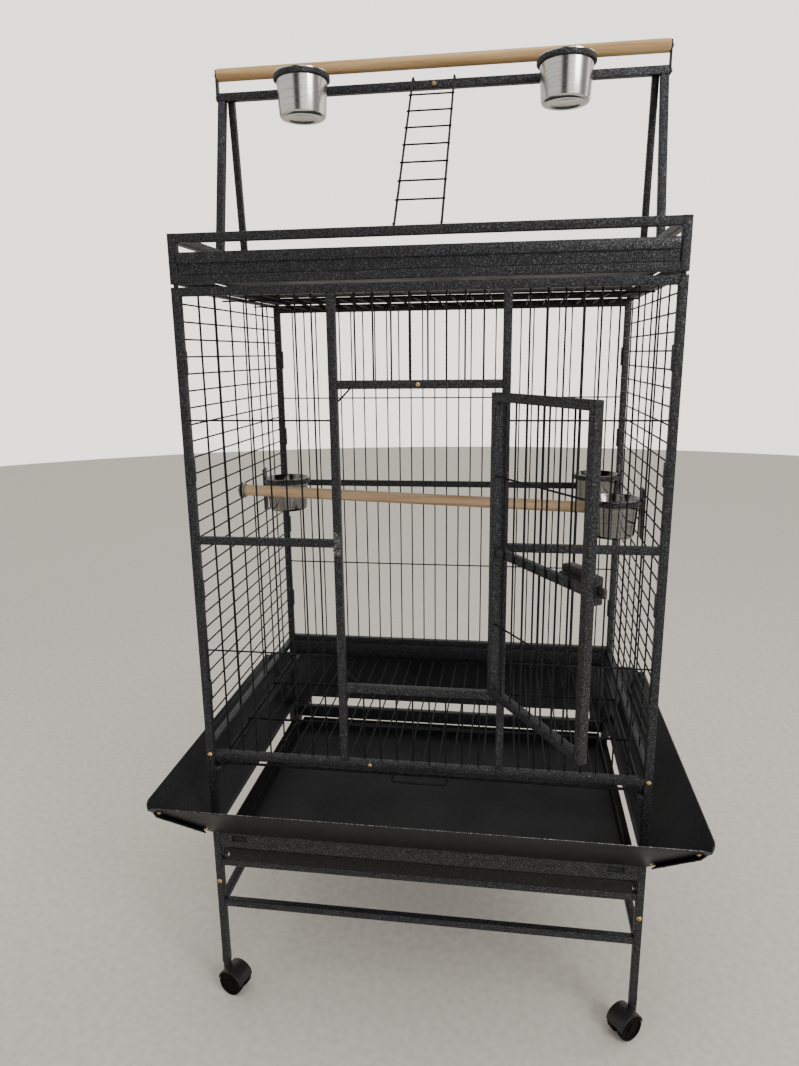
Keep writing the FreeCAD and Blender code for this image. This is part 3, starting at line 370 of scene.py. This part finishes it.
# Trays and grate: folded sheet pans, the toy tray with a glossy floor that mirrors what is above it,
# and a welded wire grate with a bent pull handle. All three slide out to the front on ledges.
gloss = finish("tray_black", (0.012, 0.012, 0.013), 0.16, 0.1, 0.4)
streaks = pattern(gloss, "ShaderNodeTexNoise", 26, (1, 0.06, 1), Detail=5.0).outputs["Fac"]
drive(gloss, ramp(gloss, streaks, (0.4, (0.011, 0.011, 0.012)), (0.7, (0.026, 0.026, 0.027))), "Base Color")
drive(gloss, ramp(gloss, streaks, (0.35, 0.12), (0.7, 0.26)), "Roughness")
eased("droppings_tray", sheet, "bottom_tray", 0.4)
toy_tray = eased("toy_tray", hammered, "top_tray", 0.4).data
for coating in (gloss, sheet):
    toy_tray.materials.append(coating)
for face in toy_tray.polygons:
    face.material_index = 1 if face.normal.z > 0.5 else 2 if face.normal.z < -0.5 else 0
coat(sheet, "tray_guides")
coat(wire, "grate")

# Play top: an open frame of square tube on four pegs that plug into the posts. Its upper rails
# fence the toy tray.
PLAY_LOW, PLAY_HIGH = 1373, 1437
PEG = [(0, 0), (4, 0), (4, 5), (0, 5)]
top_frame = bmesh.new()
for y in (-HALF_Y, IN_Y):
    for z in (PLAY_LOW, PLAY_HIGH):
        bar(top_frame, (-IN_X, y, z), (IN_X, y + TUBE, z + TUBE))
    for x in (-HALF_X, IN_X):
        bar(top_frame, (x, y, PLAY_LOW), (x + TUBE, y + TUBE, PLAY_HIGH + TUBE))
        turn(top_frame, PEG, Matrix.Translation((x + TUBE / 2, y + TUBE / 2, BODY_TOP)), 20)
for x in (-HALF_X, IN_X):
    for z in (PLAY_LOW, PLAY_HIGH):
        bar(top_frame, (x, -IN_Y, z), (x + TUBE, IN_Y, z + TUBE))
piece("play_top", top_frame, hammered, "playtop_frame")

# Play stand: leaning legs and flat struts carry a crossbar, and an upright plate at each end holds
# the wooden perch with a screw.
CROSS_Y, CROSS_Z = -12, 1722
eased("stand_legs", hammered, "playstand_legs", 1.3, 3)
eased("stand_struts", hammered, "playstand_struts", 0.8)
crossbar = bmesh.new()
bar(crossbar, (-HALF_X, CROSS_Y, CROSS_Z), (HALF_X, CROSS_Y + TUBE, CROSS_Z + TUBE), ends=True)
piece("stand_crossbar", crossbar, hammered, "playstand_crossbar")
eased("perch_brackets", hammered, "perch_plates", 1.0, 3)
eased("stand_screw_heads", brass, "stand_screws", 1.2, 3)


# Perches: turned hardwood dowels with long grain, the upper oiled, the lower dry and paler. That one
# is clamped through the side wires by a zinc washer, stud and nut at each end, lower on the right.
def dowel_wood(name, low, middle, high, gleam):
    """Long grain along X between three tones, rougher where it is dark."""
    wood = finish(name, high, 0.5, 0.0, gleam)
    fibre = pattern(wood, "ShaderNodeTexNoise", 60, (0.07, 1.5, 1.5), Detail=6.0, Roughness=0.65,
                    Distortion=0.5).outputs["Fac"]
    drive(wood, ramp(wood, fibre, (0.28, low), (0.45, middle), (0.62, high)), "Base Color")
    drive(wood, ramp(wood, fibre, (0.3, 0.62), (0.7, 0.42)), "Roughness")
    bumps(wood, fibre, 0.35, 0.0006)
    return wood


oiled = dowel_wood("oiled_dowel", (0.28, 0.155, 0.065), (0.47, 0.295, 0.14), (0.57, 0.385, 0.2), 0.2)
dry = dowel_wood("dry_dowel", (0.3, 0.18, 0.1), (0.5, 0.34, 0.205), (0.59, 0.43, 0.28), 0.3)
zinc = finish("zinc_plate", (0.5, 0.5, 0.5), 0.34, 1.0)
spangle = pattern(zinc, "ShaderNodeTexVoronoi", 240).outputs["Distance"]
drive(zinc, ramp(zinc, spangle, (0.1, (0.38, 0.385, 0.39)), (0.7, (0.6, 0.6, 0.6))), "Base Color")
drive(zinc, ramp(zinc, spangle, (0.1, 0.28), (0.8, 0.45)), "Roughness")
DOWEL, DOWEL_EASE = 11, 1.6
for name, node, timber, half, y, z, fall in (
        ("stand_perch", "top_perch", oiled, HALF_X, -5, 1767.5, 0),
        ("inner_perch", "bar_perch", dry, 390.5, -31, 974.172, 28.345)):
    face_edge = DOWEL - DOWEL_EASE
    dowel = bmesh.new()
    turn(dowel, [(0, -half), (face_edge, -half), (DOWEL, -half + DOWEL_EASE), (DOWEL, half - DOWEL_EASE),
                 (face_edge, half), (0, half)], facing((0, y, z), (1, 0, 0)), 40)
    slant = Matrix.Identity(4)
    slant[2][0] = -fall / (2 * half)
    bmesh.ops.transform(dowel, matrix=slant, verts=dowel.verts)
    piece(name, dowel, timber, node)
coat(zinc, "bar_perch_fasteners")

# Ladder: two bent wire rails that hook over the crossbar and rest on the front fence, with round
# rungs welded across them.
coat(wire, "ladder")


# Cups: spun stainless steel with a rolled rim, a rounded foot and a raised ring pressed in the base.
# They drop into black rings on the crossbar and on plates that hook over the side wires. The three
# inside the cage take a darker copy of the steel, with painted shade and dark reflections in its colour.
def spun_steel(name, low, high, rough, smooth):
    """Steel with the fine rings that spinning leaves, from a dark and rough to a light and smooth tone."""
    steel = finish(name, (high, 0.99 * high, 0.97 * high), 0.2, 1.0)
    rings = pattern(steel, "ShaderNodeTexNoise", 130, (0.1, 0.1, 9), Detail=4.0).outputs["Fac"]
    drive(steel, ramp(steel, rings, (0.3, (low, 0.99 * low, 0.965 * low)),
                      (0.7, (high, 0.99 * high, 0.97 * high))), "Base Color")
    drive(steel, ramp(steel, rings, (0.3, rough), (0.7, smooth)), "Roughness")
    return steel


stainless = spun_steel("stainless", 0.52, 0.76, 0.27, 0.13)
# A darker copy of the steel for the three cups inside the cage: the shade and dark reflections there are
# painted into its colour.
shaded_cup_steel = spun_steel("steel_painted_dark_for_shade", 0.13, 0.27, 0.13, 0.05)
CUP = [(0, -66.5), (24.6, -66.5), (26, -67.1), (27.3, -68.6), (29, -69), (35.5, -69), (38.6, -68.2),
       (40.5, -66.3), (41.4, -63.2), (45.5, 0), (47.4, 0), (48.3, 0.7), (48.3, 2.3), (47.4, 3), (45.2, 3),
       (44.2, 2), (40.1, -63), (38.6, -66.3), (35.4, -67.7), (29, -67.7), (27.6, -67.3), (25.6, -65.4),
       (24.4, -65.2), (0, -65.2)]
TOP_RIM, INNER_RIM, INNER_X = 1736.3, 992.3, 339.5
for label, steel, x, y, rim in (("top_left", stainless, -229, -68, TOP_RIM),
                                ("top_right", stainless, 229, -68, TOP_RIM),
                                ("inner_left", shaded_cup_steel, -INNER_X, 100, INNER_RIM),
                                ("inner_near", shaded_cup_steel, INNER_X, -95, INNER_RIM),
                                ("inner_far", shaded_cup_steel, INNER_X, 200, INNER_RIM)):
    cup = bmesh.new()
    turn(cup, CUP, Matrix.Translation((x, y, rim)), 72)
    piece("steel_cup_" + label, cup, steel, "cup_" + label, smooth=50)
eased("top_cup_rings", hammered, "top_cup_holders", 1.2, 3)
eased("inner_cup_rings", hammered, "inner_cup_holders", 1.0, 3)

# Door: a frame of the same tube with a thin middle bar and wires, hung on two butt hinges and here
# swung wide open to the front.
HINGE_X, HINGE_Y, OPEN = 131.5, -287, 122
DOOR_OUT, DOOR_IN, DOOR_LOW, DOOR_HIGH = 129, 115, 686, 1184
SWING = (Matrix.Translation((HINGE_X, HINGE_Y, 0)) @ Matrix.Rotation(math.radians(OPEN), 4, "Z")
         @ Matrix.Translation((-HINGE_X, -HINGE_Y, 0)))
door = bmesh.new()
for x in (-DOOR_OUT, DOOR_IN):
    bar(door, (x, -HALF_Y, DOOR_LOW), (x + TUBE, -IN_Y, DOOR_HIGH + TUBE))
for z in (DOOR_LOW, DOOR_HIGH):
    bar(door, (-DOOR_IN, -HALF_Y, z), (DOOR_IN, -IN_Y, z + TUBE))
bar(door, (-DOOR_IN, -HALF_Y, FRONT_MIDDLE), (DOOR_IN, -HALF_Y + THIN_BAR, FRONT_MIDDLE + TUBE))
bmesh.ops.transform(door, matrix=SWING, verts=door.verts)
piece("door_panel", door, hammered, "door_frame")
coat(wire, "door_wires")
coat(hammered, "hinge_fixed_leaves", "hinge_door_leaves")
coat(zinc, "hinge_pins")

# Latch: a folded guide box on the door's free stile, a flat bolt through it with a finger lever on
# its tail, and an eared strike plate on the opposite upright.
eased("latch_guide", hammered, "latch_body", 1.0, 3)
tumbled = finish("tumbled_zinc", (0.07, 0.063, 0.056), 0.42, 0.85)
scuffs = pattern(tumbled, "ShaderNodeTexNoise", 210, Detail=4.0).outputs["Fac"]
drive(tumbled, ramp(tumbled, scuffs, (0.4, (0.045, 0.04, 0.036)), (0.7, (0.13, 0.12, 0.11))), "Base Color")
drive(tumbled, ramp(tumbled, scuffs, (0.35, 0.5), (0.7, 0.33)), "Roughness")
eased("latch_slide", tumbled, "latch_bolt", 0.8, 3)
eased("latch_grip", nylon, "latch_lever", 3.0, 4)
coat(rim_highlight_and_strike, "strike")


# Studio: a pale floor and backdrop, soft light all round with dark stretches in front and at the
# right, which keep the black paint dark and give the steel its bands, and two weak softboxes.
def stage_piece(name, bm, material):
    """A mesh made in metres that stands round the cage and is no part of it."""
    mesh = bpy.data.meshes.new(name)
    bm.to_mesh(mesh)
    bm.free()
    mesh.materials.append(material)
    obj = bpy.data.objects.new(name, mesh)
    bpy.context.collection.objects.link(obj)


ground = finish("pale_floor", (0.66, 0.63, 0.58), 0.75)
weave = pattern(ground, "ShaderNodeTexNoise", 60, Detail=5.0).outputs["Fac"]
drive(ground, ramp(ground, weave, (0.35, (0.62, 0.585, 0.53)), (0.65, (0.7, 0.67, 0.62))), "Base Color")
disc = bmesh.new()
bmesh.ops.create_circle(disc, cap_ends=True, segments=64, radius=9)
stage_piece("floor", disc, ground)
world = bpy.data.worlds.new("studio")
world.use_nodes = True
tree = world.node_tree
plain = tree.nodes["Background"]
plain.inputs["Color"].default_value = (1.0, 0.97, 0.91, 1)
plain.inputs["Strength"].default_value = 2.2
around = tree.nodes.new("ShaderNodeTexGradient")
around.gradient_type = "RADIAL"
tree.links.new(tree.nodes.new("ShaderNodeTexCoord").outputs["Generated"], around.inputs["Vector"])
room = tree.nodes.new("ShaderNodeBackground")
BRIGHT, DIM = (1.0, 0.96, 0.88), (0.55, 0.54, 0.51)
SHADE, DARK = (0.2, 0.19, 0.18), (0.03, 0.03, 0.031)
bands = ramp(world, around.outputs["Fac"], (0.0, DIM), (0.17, DIM), (0.2, DARK), (0.25, DARK),
             (0.285, BRIGHT), (0.4, BRIGHT), (0.44, SHADE), (0.5, SHADE), (0.54, BRIGHT), (0.62, BRIGHT),
             (0.66, DIM), (1.0, DIM))
tree.links.new(bands, room.inputs["Color"])
room.inputs["Strength"].default_value = 1.5
seen = tree.nodes.new("ShaderNodeMixShader")
direct = tree.nodes.new("ShaderNodeLightPath").outputs["Is Camera Ray"]
for socket, output in enumerate((direct, room.outputs["Background"], plain.outputs["Background"])):
    tree.links.new(output, seen.inputs[socket])
tree.links.new(seen.outputs["Shader"], tree.nodes["World Output"].inputs["Surface"])
bpy.context.scene.world = world
for name, spot, aim, power, width in (("key", (2.4, -2.2, 2.4), (0, 0, 1.0), 45, 1.2),
                                      ("top", (0.0, -0.6, 3.6), (0, 0, 0), 30, 2.2)):
    lamp = bpy.data.lights.new(name, "AREA")
    lamp.energy, lamp.size = power, width
    softbox = bpy.data.objects.new(name, lamp)
    softbox.location = spot
    softbox.rotation_euler = (Vector(aim) - Vector(spot)).to_track_quat("-Z", "Y").to_euler()
    bpy.context.collection.objects.link(softbox)

# Camera: stands in front of the door, a little right of the middle, looking slightly down.
STANDS = (0.1472, -1.5114, 1.2579)
yaw, pitch, roll = math.radians(-8.344), math.radians(-13.31), math.radians(-0.708)
ahead = Vector((math.sin(yaw) * math.cos(pitch), math.cos(yaw) * math.cos(pitch), math.sin(pitch)))
level = Vector((math.cos(yaw), -math.sin(yaw), 0))
over = level.cross(ahead)
right = math.cos(roll) * level + math.sin(roll) * over
up = math.cos(roll) * over - math.sin(roll) * level
camera = bpy.data.objects.new("camera", bpy.data.cameras.new("camera"))
camera.data.sensor_fit, camera.data.sensor_height, camera.data.lens = "VERTICAL", 36, 25.541
camera.data.clip_start = 0.05
camera.matrix_world = Matrix((*zip(right, up, -ahead, STANDS), (0, 0, 0, 1)))
bpy.context.collection.objects.link(camera)
bpy.context.scene.camera = camera
